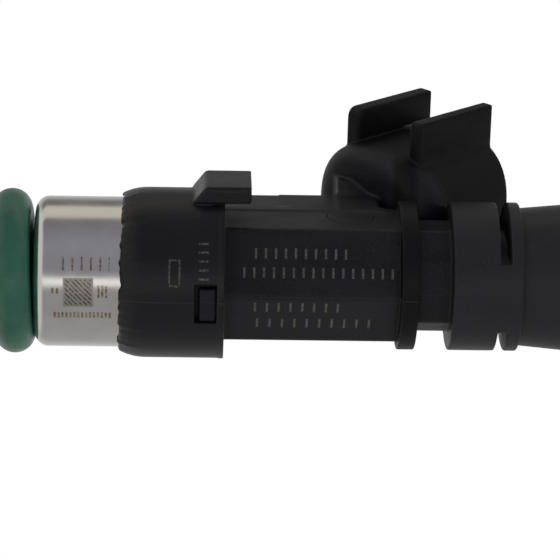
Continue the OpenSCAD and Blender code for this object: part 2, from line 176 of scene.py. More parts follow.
def skin(name, field, values, adaptivity):
    """The surface of a distance field as a mesh object, shaded by the field's own slope."""
    band = 3 * field.step
    data = np.clip(values, -band, band).astype(np.float32)
    grid = openvdb.FloatGrid(band)
    grid.copyFromArray(data)
    points, triangles, quads = grid.convertToPolygons(isovalue=0.0, adaptivity=adaptivity)
    at = points.astype(float)
    for _ in range(2):
        slope = np.stack([sample(data, at + d) - sample(data, at - d) for d in 0.5 * np.eye(3)], axis=1)
        length = np.linalg.norm(slope, axis=1, keepdims=True)
        normals = slope / np.maximum(length, 1e-9)
        off = np.clip(sample(data, at) / field.step, -0.5, 0.5)
        at -= normals * off[:, None]
    corners = (field.low + at * field.step) * MM
    faces = [f for f in (quads, triangles) if len(f)]
    return mesh_object(name, corners, faces, normals)


def mesh_object(name, corners, faces, normals=None):
    """A mesh object from arrays of corners and of faces with the same number of sides."""
    mesh = bpy.data.meshes.new(name)
    sizes = np.concatenate([np.full(len(f), f.shape[1]) for f in faces])
    loops = np.concatenate([np.asarray(f).ravel() for f in faces]).astype(np.int32)
    starts = np.concatenate([[0], np.cumsum(sizes)[:-1]]).astype(np.int32)
    mesh.vertices.add(len(corners))
    mesh.vertices.foreach_set("co", np.asarray(corners, np.float32).ravel())
    mesh.loops.add(len(loops))
    mesh.loops.foreach_set("vertex_index", loops)
    mesh.polygons.add(len(sizes))
    mesh.polygons.foreach_set("loop_start", starts)
    mesh.update(calc_edges=True)
    mesh.validate()
    if normals is not None:
        mesh.normals_split_custom_set_from_vertices(normals.astype(np.float32))
    thing = bpy.data.objects.new(name, mesh)
    bpy.context.scene.collection.objects.link(thing)
    return thing


# ---------------------------------------------------------------- lathes
def soften(outline, radius):
    """A closed outline of (r, z) points with every corner off the axis rounded."""
    result = []
    count = len(outline)
    for i, here in enumerate(outline):
        here = Vector(here)
        before, after = Vector(outline[i - 1]), Vector(outline[(i + 1) % count])
        a, b = before - here, after - here
        turn = a.angle(b)
        if here.x < 1e-6 or turn > math.radians(165):
            result.append(here)
            continue
        reach = min(radius / math.tan(turn / 2), 0.45 * a.length, 0.45 * b.length)
        arc_r = reach * math.tan(turn / 2)
        centre = here + (a.normalized() + b.normalized()).normalized() * arc_r / math.sin(turn / 2)
        first = here + a.normalized() * reach - centre
        last = here + b.normalized() * reach - centre
        steps = 6
        for k in range(steps + 1):
            mix = first.lerp(last, k / steps)
            result.append(centre + mix.normalized() * arc_r)
    return result


def lathe(name, outline, steps=192):
    """A body of revolution from a closed outline of (r, z) points."""
    outline = [(p[0], p[1]) for p in outline]
    rows, corners = [], []
    for r, z in outline:
        if r < 1e-6:
            rows.append([len(corners)] * steps)
            corners.append((0, 0, z))
            continue
        rows.append(list(range(len(corners), len(corners) + steps)))
        for k in range(steps):
            angle = 2 * math.pi * k / steps
            corners.append((r * math.cos(angle), r * math.sin(angle), z))
    quads, triangles = [], []
    for i, row in enumerate(rows):
        nxt = rows[(i + 1) % len(rows)]
        if row[0] == row[1] and nxt[0] == nxt[1]:
            continue
        for k in range(steps):
            m = (k + 1) % steps
            if row[0] == row[1]:
                triangles.append([row[0], nxt[m], nxt[k]])
            elif nxt[0] == nxt[1]:
                triangles.append([row[k], row[m], nxt[0]])
            else:
                quads.append([row[k], row[m], nxt[m], nxt[k]])
    faces = [np.array(f) for f in (quads, triangles) if f]
    thing = mesh_object(name, np.array(corners) * MM, faces)
    thing.data.set_sharp_from_angle(angle=math.radians(40))
    return thing


def arc(cx, cz, r, start, end, steps=10):
    """Points of a circular arc in the (r, z) plane, angles in degrees."""
    turn = [math.radians(start + (end - start) * k / steps) for k in range(steps + 1)]
    return [(cx + r * math.cos(a), cz + r * math.sin(a)) for a in turn]


# ---------------------------------------------------------------- materials
class Paint:
    """A node material, with short names for the nodes used here. Its coordinates are millimetres."""

    def __init__(self, name):
        self.material = bpy.data.materials.new(name)
        self.material.use_nodes = True
        self.tree = self.material.node_tree
        self.shader = self.tree.nodes["Principled BSDF"]
        place = self.tree.nodes.new("ShaderNodeTexCoord").outputs["Object"]
        scale = self.node("ShaderNodeVectorMath", operation="SCALE")
        self.tree.links.new(place, scale.inputs[0])
        scale.inputs["Scale"].default_value = 1 / MM
        self.place = scale.outputs[0]
        split = self.node("ShaderNodeSeparateXYZ")
        self.tree.links.new(self.place, split.inputs[0])
        self.x, self.y, self.z = split.outputs

    def node(self, kind, **settings):
        made = self.tree.nodes.new(kind)
        for key, value in settings.items():
            setattr(made, key, value)
        return made

    def put(self, value, socket):
        if isinstance(value, bpy.types.NodeSocket):
            self.tree.links.new(value, socket)
        else:
            socket.default_value = value

    def math(self, operation, a, b=0.0):
        made = self.node("ShaderNodeMath", operation=operation)
        for value, socket in zip((a, b), made.inputs):
            self.put(value, socket)
        return made.outputs[0]

    def noise(self, size, detail=3.0, stretch=(1, 1, 1), roughness=0.55):
        """Noise with features of about this size in millimetres, stretched along an axis if asked."""
        mapping = self.node("ShaderNodeMapping")
        self.put(self.place, mapping.inputs["Vector"])
        mapping.inputs["Scale"].default_value = [1 / (size * s) for s in stretch]
        made = self.node("ShaderNodeTexNoise")
        self.put(mapping.outputs[0], made.inputs["Vector"])
        made.inputs["Scale"].default_value = 1.0
        made.inputs["Detail"].default_value = detail
        made.inputs["Roughness"].default_value = roughness
        return made.outputs["Fac"]

    def remap(self, value, low, high, to_low, to_high):
        made = self.node("ShaderNodeMapRange", interpolation_type="SMOOTHSTEP")
        for v, socket in zip((value, low, high, to_low, to_high), made.inputs):
            self.put(v, socket)
        return made.outputs[0]

    def near(self, value, centre, half, soft):
        """One where value is within half of centre, falling to nought over soft."""
        away = self.math("ABSOLUTE", self.math("SUBTRACT", value, centre))
        return self.remap(away, half - soft, half + soft, 1.0, 0.0)

    def both(self, *masks):
        result = masks[0]
        for mask in masks[1:]:
            result = self.math("MULTIPLY", result, mask)
        return result

    def either(self, *masks):
        result = masks[0]
        for mask in masks[1:]:
            result = self.math("MAXIMUM", result, mask)
        return result

    def ticks(self, along, start, end, across, centre, half, pitch, width):
        """A row of short plain strokes."""
        phase = self.math("MODULO", self.math("SUBTRACT", along, start), pitch)
        stroke = self.near(phase, pitch / 2, width / 2, 0.03)
        span = self.near(along, (start + end) / 2, (end - start) / 2, 0.02)
        return self.both(stroke, span, self.near(across, centre, half, 0.04))

    def blend(self, mask, a, b):
        made = self.node("ShaderNodeMix", data_type="RGBA")
        self.put(mask, made.inputs["Factor"])
        for value, socket in zip((a, b), (made.inputs[6], made.inputs[7])):
            self.put((*value, 1.0) if isinstance(value, tuple) else value, socket)
        return made.outputs[2]

    def bump(self, height, strength, distance, before=None):
        made = self.node("ShaderNodeBump")
        made.inputs["Strength"].default_value = strength
        made.inputs["Distance"].default_value = distance * MM
        self.put(height, made.inputs["Height"])
        if before is not None:
            self.put(before, made.inputs["Normal"])
        return made.outputs[0]

    def finish(self, colour=None, roughness=None, normal=None, **fixed):
        names = {"colour": "Base Color", "roughness": "Roughness", "normal": "Normal"}
        for key, value in (("colour", colour), ("roughness", roughness), ("normal", normal)):
            if value is not None:
                self.put(value, self.shader.inputs[names[key]])
        for key, value in fixed.items():
            self.shader.inputs[key.replace("_", " ").title().replace("Ior", "IOR")].default_value = value
        return self.material


def plastic(name, dark, light, rough, marks=None, grain=0.13, depth=0.045, specular=0.35):
    """Moulded plastic with a fine spark-eroded grain, faint flow clouds and small scuffs."""
    p = Paint(name)
    fine = p.noise(grain, 2.0)
    cloud = p.noise(3.5, 3.0, stretch=(1, 1, 2.5))
    scuff = p.remap(p.noise(0.9, 4.0, stretch=(1, 1, 3)), 0.62, 0.78, 0.0, 1.0)
    tone = p.blend(p.remap(cloud, 0.3, 0.7, 0.0, 1.0), dark, light)
    tone = p.blend(p.math("MULTIPLY", scuff, 0.25), tone, tuple(2.2 * v for v in light))
    tone = p.blend(p.remap(p.noise(0.16, 2.0), 0.52, 0.75, 0.0, 0.5), tone, tuple(2.4 * v for v in light))
    normal = p.bump(fine, 0.5, depth)
    normal = p.bump(p.noise(1.6, 2.0), 0.25, 0.03, normal)
    gloss = p.remap(p.math("ADD", cloud, p.math("MULTIPLY", fine, 0.5)), 0.4, 1.1, rough - 0.07, rough + 0.07)
    if marks:
        tone, normal, gloss = marks(p, tone, normal, gloss)
    return p.finish(tone, gloss, normal, specular_ior_level=specular)


def body_painted_shade_and_light(p, tone, gloss):
    """Painted shade and light on the body by place: darker and duller on the socket, its fins and the first
    collar, as painted shade, and paler on the second collar and the cone towards -X, as painted light.
    """
    along = p.math("ADD", p.math("MULTIPLY", p.math("SUBTRACT", p.x, SOCKET_X), math.cos(SLOPE)),
                   p.math("MULTIPLY", p.math("SUBTRACT", p.z, SOCKET_Z), math.sin(SLOPE)))
    shell = p.both(p.remap(along, -1.8, -0.4, 0.0, 1.0), p.remap(p.x, 4.0, 5.5, 0.0, 1.0))
    fins = p.both(p.remap(p.y, 8.2, 9.4, 0.0, 1.0), p.remap(along, -0.1, 0.5, 0.0, 1.0))
    collar = p.near(p.z, (COLLAR_1_Z + COLLAR_1_TOP) / 2, 1.0, 0.3)
    painted_shade = p.either(p.math("MULTIPLY", shell, 0.7), fins, p.math("MULTIPLY", collar, 0.85))
    pale = p.math("MULTIPLY", p.remap(p.z, 44.2, 45.0, 0.0, 1.0), p.remap(p.x, 3.0, 4.5, 0.35, 0.0))
    # Painted shade: the socket, its fins and the first collar are darkened towards near black and made
    # rougher.
    tone = p.blend(painted_shade, tone, (0.002, 0.002, 0.003))
    # Painted light: the second collar and the cone are lightened towards -X.
    tone = p.blend(pale, tone, (0.05, 0.049, 0.052))
    return tone, p.math("ADD", gloss, p.math("MULTIPLY", painted_shade, 0.1))


def body_marks(p, tone, normal, gloss):
    """Pale strokes on the two faces beside the -X edge, a round gate line and the mould's parting line."""
    # Painted shade and light on the body by place, before the marks.
    tone, gloss = body_painted_shade_and_light(p, tone, gloss)
    c30, s30 = math.cos(math.radians(30)), math.sin(math.radians(30))
    up_face = p.math("ADD", p.math("MULTIPLY", p.x, s30), p.math("MULTIPLY", p.y, c30))
    low_face = p.math("SUBTRACT", p.math("MULTIPLY", p.x, s30), p.math("MULTIPLY", p.y, c30))
    on_up = p.both(p.remap(p.x, -2.9, -2.8, 1.0, 0.0), p.remap(p.y, 0.05, 0.15, 0.0, 1.0))
    on_low = p.both(p.remap(p.x, -2.9, -2.8, 1.0, 0.0), p.remap(p.y, -0.15, -0.05, 1.0, 0.0))
    rows = [
        p.both(on_up, p.ticks(p.z, 27.2, 35.9, up_face, 0.88, 0.46, 0.87, 0.2)),
        p.both(on_up, p.ticks(p.z, 26.2, 39.9, up_face, -0.81, 0.46, 0.86, 0.2)),
        p.both(on_low, p.ticks(p.z, 27.1, 35.4, low_face, -1.73, 0.6, 1.03, 0.2)),
        p.both(on_low, p.ticks(p.z, 27.3, 38.2, low_face, 0.45, 0.6, 1.09, 0.2)),
    ]
    patchy = p.remap(p.noise(0.25, 3.0), 0.3, 0.7, 0.45, 1.0)
    marks = p.both(p.either(*rows), patchy)
    tone = p.blend(marks, tone, (0.165, 0.155, 0.14))
    ring_at = p.math("SUBTRACT", p.x, 0.65)
    ring_z = p.math("SUBTRACT", p.z, 36.1)
    away = p.math("SQRT", p.math("ADD", p.math("POWER", ring_at, 2.0), p.math("POWER", ring_z, 2.0)))
    on_flat = p.both(p.remap(p.y, 5.1, 5.15, 0.0, 1.0), p.remap(p.x, 1.1, 1.4, 1.0, 0.0))
    gate = p.both(p.near(away, 2.07, 0.06, 0.05), on_flat)
    seam = p.both(p.near(p.y, 0.0, 0.05, 0.05), p.remap(p.x, -4.0, -3.8, 1.0, 0.0))
    tone = p.blend(p.math("MULTIPLY", gate, 0.8), tone, (0.004, 0.004, 0.004))
    tone = p.blend(p.math("MULTIPLY", seam, 0.5), tone, (0.05, 0.05, 0.055))
    normal = p.bump(p.math("SUBTRACT", seam, gate), 0.8, 0.06, normal)
    return tone, normal, gloss


def ring_marks(p, tone, normal, gloss):
    """A column of pale strokes, a short rubbed patch and the mould's parting line."""
    angle = p.math("ARCTAN2", p.y, p.math("MULTIPLY", p.x, -1.0))
    height = p.math("MULTIPLY", angle, RING_R)
    strokes = p.ticks(height, 1.7, 5.6, p.z, 23.1, 0.42, 0.78, 0.2)
    patch = p.both(p.near(height, 2.6, 1.2, 0.1), p.near(p.z, 20.6, 0.5, 0.1))
    inside = p.both(p.near(height, 2.6, 1.05, 0.05), p.near(p.z, 20.6, 0.36, 0.05))
    rim = p.both(patch, p.math("SUBTRACT", 1.0, inside))
    patchy = p.remap(p.noise(0.22, 3.0), 0.35, 0.65, 0.2, 1.0)
    marks = p.both(p.either(strokes, rim), patchy)
    front = p.remap(p.x, -4.0, -3.8, 1.0, 0.0)
    tone = p.blend(p.both(marks, front), tone, (0.16, 0.15, 0.14))
    seam = p.both(p.near(p.y, 0.0, 0.05, 0.05), front)
    tone = p.blend(p.math("MULTIPLY", seam, 0.5), tone, (0.05, 0.05, 0.055))
    normal = p.bump(seam, 0.8, 0.05, normal)
    return tone, normal, gloss


def steel(name, colour, rough, streak=(1, 1, 12), marks=None, lines=0.05):
    """Drawn or turned metal: fine lines, cloudy polish and a few darker specks."""
    p = Paint(name)
    fine = p.noise(lines, 3.0, stretch=streak, roughness=0.7)
    cloud = p.noise(2.0, 3.0)
    tone = p.blend(p.remap(cloud, 0.3, 0.7, 0.0, 1.0), tuple(0.93 * v for v in colour), colour)
    speck = p.remap(p.noise(0.16, 2.0), 0.7, 0.8, 0.0, 1.0)
    tone = p.blend(p.math("MULTIPLY", speck, 0.35), tone, tuple(0.45 * v for v in colour))
    normal = p.bump(fine, 0.12, 0.01)
    normal = p.bump(p.noise(0.7, 2.0, stretch=(1, 1, 2)), 0.06, 0.02, normal)
    gloss = p.remap(p.math("ADD", cloud, p.math("MULTIPLY", fine, 0.4)), 0.4, 1.0, rough - 0.04, rough + 0.05)
    if marks:
        tone, normal, gloss = marks(p, tone, normal, gloss)
    return p.finish(tone, gloss, normal, metallic=1.0)


def housing_marks(p, tone, normal, gloss):
    """Brown heat marks of a laser: a hatched square and plain strokes above, beside and below it."""
    toward = p.math("ADD", p.math("MULTIPLY", p.x, -AWAY.x), p.math("MULTIPLY", p.y, -AWAY.y))
    upward = p.math("ADD", p.math("MULTIPLY", p.x, UPWARD.x), p.math("MULTIPLY", p.y, UPWARD.y))
    height = p.math("MULTIPLY", p.math("ARCTAN2", upward, toward), HOUSING_R)
    front = p.remap(toward, 3.0, 3.2, 0.0, 1.0)
    square = p.both(p.near(p.z, 12.3, 1.15, 0.05), p.near(height, -1.9, 1.15, 0.05))
    plate = p.both(p.near(p.z, 12.3, 1.3, 0.05), p.near(height, -1.9, 1.3, 0.05))
    slant = p.math("MODULO", p.math("ADD", p.math("ADD", p.z, height), 20.0), 0.42)
    hatch = p.both(square, p.near(slant, 0.21, 0.1, 0.04))
    rows = [
        p.ticks(p.z, 10.6, 15.0, height, 0.62, 0.62, 0.8, 0.17),
        p.ticks(p.z, 9.9, 10.7, height, -1.75, 0.25, 0.4, 0.2),
        p.ticks(p.z, 13.9, 14.9, height, -1.8, 0.55, 0.33, 0.2),
        p.ticks(p.z, 10.1, 15.2, height, -4.05, 0.3, 0.34, 0.2),
    ]
    patchy = p.remap(p.noise(0.2, 3.0), 0.35, 0.6, 0.25, 1.0)
    tone = p.blend(p.both(plate, front), tone, (0.42, 0.39, 0.36))
    tone = p.blend(p.both(hatch, front, patchy), tone, (0.10, 0.075, 0.05))
    tone = p.blend(p.both(p.either(*rows), front, patchy), tone, (0.26, 0.17, 0.07))
    gloss = p.math("ADD", gloss, p.math("MULTIPLY", p.both(plate, front), 0.25))
    return tone, normal, gloss


def tube_painted_shadow(p, tone, normal, gloss):
    """Painted shadow on the tube: a near-black, rougher band between the lower sealing ring and the housing,
    where shade falls.
    """
    # Painted shadow: near black where z is close to 8.3, mottled a little by noise.
    painted_shadow = p.math("MULTIPLY", p.near(p.z, 8.3, 0.6, 0.2), p.remap(p.noise(0.4, 3.0), 0.2, 0.6, 0.9, 1.0))
    gloss = p.math("ADD", gloss, p.math("MULTIPLY", painted_shadow, 0.4))
    return p.blend(painted_shadow, tone, (0.012, 0.012, 0.012)), normal, gloss


def rubber(name, dark, light):
    """Green fluoro rubber: satin, with a talc haze and tiny pores."""
    p = Paint(name)
    cloud = p.noise(2.2, 3.0)
    tone = p.blend(p.remap(cloud, 0.3, 0.7, 0.0, 1.0), dark, light)
    haze = p.remap(p.noise(0.5, 4.0), 0.6, 0.8, 0.0, 1.0)
    tone = p.blend(p.math("MULTIPLY", haze, 0.15), tone, (0.25, 0.33, 0.29))
    normal = p.bump(p.noise(0.1, 2.0), 0.15, 0.015)
    normal = p.bump(p.noise(1.1, 2.0), 0.2, 0.04, normal)
    gloss = p.remap(p.noise(0.8, 3.0), 0.3, 0.7, 0.3, 0.42)
    return p.finish(tone, gloss, normal, specular_ior_level=0.5)


def wire(name):
    """Enamelled copper wire, laid in turns."""
    p = Paint(name)
    tone = p.blend(p.remap(p.noise(0.6), 0.3, 0.7, 0.0, 1.0), (0.55, 0.24, 0.09), (0.76, 0.38, 0.18))
    turns = p.math("SINE", p.math("MULTIPLY", p.z, 2 * math.pi / 0.2))
    return p.finish(tone, p.remap(p.noise(0.3), 0.3, 0.7, 0.2, 0.32), p.bump(turns, 0.4, 0.03), metallic=0.9)


def cloth(name):
    """Woven filter mesh."""
    p = Paint(name)
    angle = p.math("ARCTAN2", p.y, p.x)
    warp = p.math("SINE", p.math("MULTIPLY", angle, 90.0))
    weft = p.math("SINE", p.math("MULTIPLY", p.z, 2 * math.pi / 0.15))
    weave = p.math("MULTIPLY", warp, weft)
    tone = p.blend(p.remap(weave, -0.6, 0.6, 0.0, 1.0), (0.45, 0.44, 0.38), (0.85, 0.84, 0.76))
    return p.finish(tone, p.remap(p.noise(0.3), 0.3, 0.7, 0.6, 0.75), p.bump(weave, 0.5, 0.03))


def floor_paint(name):
    p = Paint(name)
    tone = p.blend(p.remap(p.noise(9.0), 0.3, 0.7, 0.0, 1.0), (0.72, 0.72, 0.71), (0.76, 0.76, 0.75))
    return p.finish(tone, p.remap(p.noise(3.0), 0.3, 0.7, 0.7, 0.8), p.bump(p.noise(0.4), 0.05, 0.02))


def paints():
    return {
        "body_plastic": plastic("body_plastic", (0.0125, 0.012, 0.015), (0.0185, 0.018, 0.022), 0.45,
                                body_marks, specular=0.2),
        "ring_plastic": plastic("ring_plastic", (0.005, 0.0047, 0.007), (0.008, 0.0075, 0.011), 0.36,
                                ring_marks, specular=0.33),
        "cap_plastic": plastic("cap_plastic", (0.008, 0.008, 0.009), (0.013, 0.013, 0.014), 0.45),
        "housing_steel": steel("housing_steel", (0.66, 0.65, 0.63), 0.18, marks=housing_marks),
        # The fuel tube carries a painted shadow between the lower sealing ring and the housing.
        "stainless_tube": steel("stainless_tube", (0.60, 0.57, 0.53), 0.22, streak=(12, 12, 1),
                                marks=tube_painted_shadow),
        "core_steel": steel("core_steel", (0.50, 0.50, 0.52), 0.35, streak=(12, 12, 1)),
        "hard_steel": steel("hard_steel", (0.70, 0.70, 0.72), 0.12, lines=0.03),
        "spring_steel": steel("spring_steel", (0.42, 0.44, 0.47), 0.3),
        "tinned_blade": steel("tinned_blade", (0.72, 0.72, 0.70), 0.25, lines=0.08),
        "brass": steel("brass", (0.75, 0.57, 0.28), 0.28, streak=(12, 12, 1)),
        "green_rubber": rubber("green_rubber", (0.028, 0.155, 0.100), (0.042, 0.200, 0.132)),
        "bobbin_plastic": plastic("bobbin_plastic", (0.13, 0.08, 0.05), (0.18, 0.12, 0.07), 0.5),
        "filter_plastic": plastic("filter_plastic", (0.66, 0.64, 0.56), (0.76, 0.74, 0.66), 0.45),
        "copper_wire": wire("copper_wire"),
        "filter_cloth": cloth("filter_cloth"),
    }


# ---------------------------------------------------------------- pieces from distance fields
def hexagon(field, round_by):
    result = None
    for degrees in (30, 90, 150):
        c, s = math.cos(math.radians(degrees)), math.sin(math.radians(degrees))
        side = np.abs(field.x * c + field.y * s) - HEX_FLAT
        result = side if result is None else smooth_max(result, side, round_by)
    return result


def channel_outline(field, x, y):
    """The outline of the channel along the +X side."""
    rise = (HEX_FLAT - y) / (x - CHANNEL_FOOT_X)
    sloping = (np.abs(field.y) - HEX_FLAT + rise * (field.x - CHANNEL_FOOT_X)) / math.hypot(1, rise)
    return smooth_max(smooth_max(sloping, field.x - x, 0.3), 2 - field.x, 0.1)


def ten_sides(field, radius):
    result = None
    for k in range(5):
        a = math.radians(18 + 36 * k)
        side = np.abs(field.x * math.cos(a) + field.y * math.sin(a)) - radius * math.cos(math.radians(18))
        result = side if result is None else smooth_max(result, side, 0.12)
    return result


def gusset(field):
    rise = 0.6 / 5.4
    top = (field.z - 38.3 + rise * (field.x - 9.5)) / math.hypot(1, rise)
    block = np.maximum(np.maximum(GUSSET_Z - field.z, field.x - 11.2), 2 - field.x)
    block = smooth_max(block, top, 0.3)
    half = GUSSET_HALF + GUSSET_FLARE * np.clip((field.x - 6.2) / 1.8, 0, 1)
    return smooth_max(block, np.abs(field.y) - half, 0.35)


def socket_axes(field):
    """Distances across the socket and along it, from the middle of its foot."""
    dx, dz = field.x - SOCKET_X, field.z - SOCKET_Z
    return dx * math.sin(SLOPE) - dz * math.cos(SLOPE), dx * math.cos(SLOPE) + dz * math.sin(SLOPE)


def socket(field):
    """The socket's outside with its fins, lip and pad, and its cavity, as two shapes."""
    u, w = socket_axes(field)
    side = np.maximum(np.abs(field.y - SOCKET_Y) - SOCKET_HALF, 0) * (SOCKET_R / SOCKET_END_R)
    q = (np.abs(u) ** SOCKET_POWER + side ** SOCKET_POWER) ** (1 / SOCKET_POWER)
    flare = (SOCKET_MOUTH_R - SOCKET_R) / SOCKET_L
    wall = q - SOCKET_R - flare * np.maximum(w, 0)
    from_edge = wall + SOCKET_BACK_R
    from_back = -(w + SOCKET_BACK)
    corner = np.maximum(from_edge, 0) ** SOCKET_POWER + np.maximum(from_back, 0) ** SOCKET_POWER
    corner = corner ** (1 / SOCKET_POWER)
    shell = corner + np.minimum(np.maximum(from_edge, from_back), 0) - SOCKET_BACK_R
    shell = smooth_max(shell, w - SOCKET_L, 0.3)
    inner = q - (SOCKET_R - SOCKET_WALL) - flare * (w - SOCKET_FLOOR) * 1.15
    cavity = smooth_max(inner, SOCKET_FLOOR - w, 0.8)

    def fin(x, width, top, heel):
        over, ahead = field.y - (top - FIN_CORNER), w - (FIN_FRONT - FIN_CORNER)
        front = np.hypot(np.maximum(over, 0), np.maximum(ahead, 0)) + np.minimum(np.maximum(over, ahead), 0)
        plate = smooth_max(front - FIN_CORNER, np.maximum(-w - FIN_BACK, FIN_ROOT - field.y), heel)
        return smooth_max(plate, np.abs(u - x - width / 2) - width / 2, 0.32)

    def bar(x, width, low, high, length, edge):
        level = np.maximum(field.y - high, low - field.y)
        flat = smooth_max(np.abs(u - x - width / 2) - width / 2, level, edge)
        return smooth_max(flat, np.maximum(-w, w - length), edge)

    pad = bar(FIN_A_X - PAD_W, PAD_W + 0.2, FIN_ROOT, PAD_TOP, PAD_L, 0.15)
    lip_top = FIN_B_TOP - LIP_DROP
    lip = bar(FIN_B_X + FIN_B_W - 0.4, LIP_W + 0.4, lip_top - LIP_H, lip_top, LIP_L, 0.15)
    outside = smooth_min(shell, pad, 0.12)
    outside = smooth_min(outside, fin(FIN_A_X, FIN_A_W, FIN_A_TOP, 1.0), 0.2)
    outside = smooth_min(outside, smooth_min(fin(FIN_B_X, FIN_B_W, FIN_B_TOP, 0.5), lip, 0.1), 0.2)
    return np.maximum(outside, field.y - FIN_B_TOP + HUG), cavity


def blades(field, grow):
    """The two wires' room: strips up the body, then along the socket's centre line."""
    across = np.abs(np.abs(field.y - SOCKET_Y) - BLADE_PITCH / 2) - BLADE_W / 2 - grow
    bend_z = SOCKET_Z - (SOCKET_X - BLADE_X) * math.tan(SLOPE)
    upright = np.maximum(np.abs(field.x - BLADE_X), np.abs(field.z - (BLADE_FOOT_Z + bend_z) / 2)
                         - (bend_z - BLADE_FOOT_Z) / 2 + BLADE_T / 2)
    u, w = socket_axes(field)
    run = (SOCKET_X - BLADE_X) / math.cos(SLOPE)
    sloping = np.maximum(np.abs(u), np.maximum(-run - w, w - BLADE_REACH))
    return np.maximum(np.minimum(upright, sloping) - BLADE_T / 2 - grow, across)


def overmould():
    step = 0.12
    g = Field(BODY_LOW, BODY_HIGH, step)
    shape = g.slab(hexagon(g, 0.3), RING_TOP - 0.5, COLLAR_1_Z + 0.5, 0.1)
    low_outline = channel_outline(g, CHANNEL_X - 0.05, CHANNEL_Y - 0.05)
    low_channel = g.slab(low_outline, RING_TOP - 0.5, CHANNEL_STEP_Z + 0.5, 0.1)
    channel = g.slab(channel_outline(g, CHANNEL_X, CHANNEL_Y), CHANNEL_STEP_Z, GUSSET_TOP - 0.4, 0.1)
    shape = smooth_min(shape, np.minimum(low_channel, channel), 0.2)
    outside, cavity = socket(g)
    outside = smooth_min(outside, gusset(g), 0.35)
    shape = smooth_min(shape, outside, 0.5)
    shape = smooth_min(shape, g.slab(g.r - SKIRT_R, HOUSING_STEP_Z + 0.1, RING_TOP, 0.1), 0.1)
    lug = smooth_max(wedge(g, LUG_HALF, LUG_TURN), g.r - LUG_R, 0.15)
    shape = smooth_min(shape, g.slab(lug, LUG_Z, LUG_TOP, 0.15), 0.1)
    shape = smooth_min(shape, g.slab(g.r - COLLAR_R, COLLAR_1_Z, COLLAR_1_TOP, 0.12), 0.12)
    shape = smooth_min(shape, g.slab(ten_sides(g, NECK_R), COLLAR_1_TOP - 0.5, COLLAR_2_Z + 0.5, 0.1), 0.15)
    collar = g.slab(g.r - COLLAR_R, COLLAR_2_Z, COLLAR_2_TOP, 0.18)
    slot_floor = np.where(g.z > SLOT_Z + 0.25, 4.1, SLOT_FLOOR_R - 0.2)
    beyond = np.minimum(np.abs(g.y) - WEB_HALF, g.r - slot_floor)
    slots = np.maximum(-beyond, np.maximum(SLOT_Z - g.z, g.z - SLOT_TOP))
    collar = smooth_max(collar, -slots, 0.15)
    shape = smooth_min(shape, collar, 0.15)
    rise = (CONE_TOP_R - CONE_R) / (CONE_TOP_Z - COLLAR_2_TOP)
    cone = g.slab(g.r - CONE_R - rise * (g.z - COLLAR_2_TOP), COLLAR_2_TOP - 0.5, CONE_TOP_Z + 0.5, 0.1)
    rim = g.slab(g.r - CONE_TOP_R, CONE_TOP_Z, SHOULDER_Z, 0.4)
    shape = smooth_min(shape, smooth_min(cone, rim, 0.3), 0.1)
    holes = np.minimum(g.r - TUBE_R - HUG, np.maximum(g.r - LAND_R - HUG, BELL_Z - g.z))
    room = np.maximum(g.r - HOUSING_BORE_R, g.z - 22.4)
    groove = np.maximum(np.abs(g.r - 5.785) - 0.235, g.z - HOUSING_TOP - 0.1)
    holes = np.minimum(np.minimum(holes, room), groove)
    holes = np.minimum(np.minimum(holes, cavity), blades(g, 0.02))
    shape = smooth_max(shape, -holes, 0.15)
    return skin("overmould_body", g, shape, 0.01)


def locating_ring():
    step = 0.09
    g = Field(RING_LOW, RING_HIGH, step)
    angle = np.arctan2(g.y, g.x)
    ragged = ((9, 0.05, 0.4), (17, 0.05, 2.1), (31, 0.04, 4.0), (53, 0.03, 1.0))
    waves = sum(height * np.sin(count * angle + shift) for count, height, shift in ragged)
    lean = 0.022 * (g.x * UPWARD.x + g.y * UPWARD.y)
    edge_z = RING_Z + 0.38 + waves + lean
    shape = np.maximum(g.r - RING_R, g.z - RING_TOP)
    bevel = (g.r - 7.0) * 0.82 - (g.z - edge_z) * 0.57
    shape = smooth_max(shape, bevel, 0.9)
    shape = smooth_max(shape, edge_z - g.z, 0.25)
    bead = g.slab(g.r - RING_R - 0.04, RING_TOP - 0.4, RING_TOP, 0.12)
    shape = smooth_min(shape, bead, 0.08)
    rise, run = TAB_T - TAB_RAMP_R, TAB_FLAT_Z - TAB_RAMP_Z
    ramp = ((g.y - TAB_RAMP_R) * run - (g.z - TAB_RAMP_Z) * rise) / math.hypot(rise, run)
    tab = smooth_max(ramp, np.maximum(g.y - TAB_T, g.z - TAB_TOP), 0.25)
    tab = smooth_max(tab, np.abs(g.x) - TAB_HALF, 0.25)
    tab = smooth_max(tab, TAB_UNDER - g.y, 0.15)
    shape = smooth_min(shape, tab, 0.15)
    window = np.maximum(wedge(g, WINDOW_HALF, WINDOW_TURN), np.maximum(WINDOW_Z - g.z, g.z - WINDOW_TOP))
    shape = smooth_max(shape, -window, 0.12)
    shape = smooth_max(shape, HOUSING_R + 0.05 - g.r, 0.12)
    return skin("locating_ring_body", g, shape, 0.01)


# ---------------------------------------------------------------- turned and pressed pieces
def magnet_housing():
    shoulder_z = HOUSING_Z - HOUSING_ARC_R * math.sin(math.radians(HOUSING_ARC_START))
    floor_z = HOUSING_Z + HOUSING_WALL
    outline = [(LAND_R + HUG, HOUSING_Z), (HOUSING_R - HOUSING_WALL, HOUSING_Z)]
    outline += arc(HOUSING_R - HOUSING_ARC_R, shoulder_z, HOUSING_ARC_R, HOUSING_ARC_START, 0, 20)
    outline += [
        (HOUSING_R, HOUSING_STEP_Z), (HOUSING_UPPER_R, HOUSING_STEP_Z), (HOUSING_UPPER_R, HOUSING_TOP),
        (HOUSING_BORE_R, HOUSING_TOP), (HOUSING_BORE_R, floor_z), (LAND_R + HUG, floor_z),
    ]
    return lathe("magnet_housing_shell", outline)


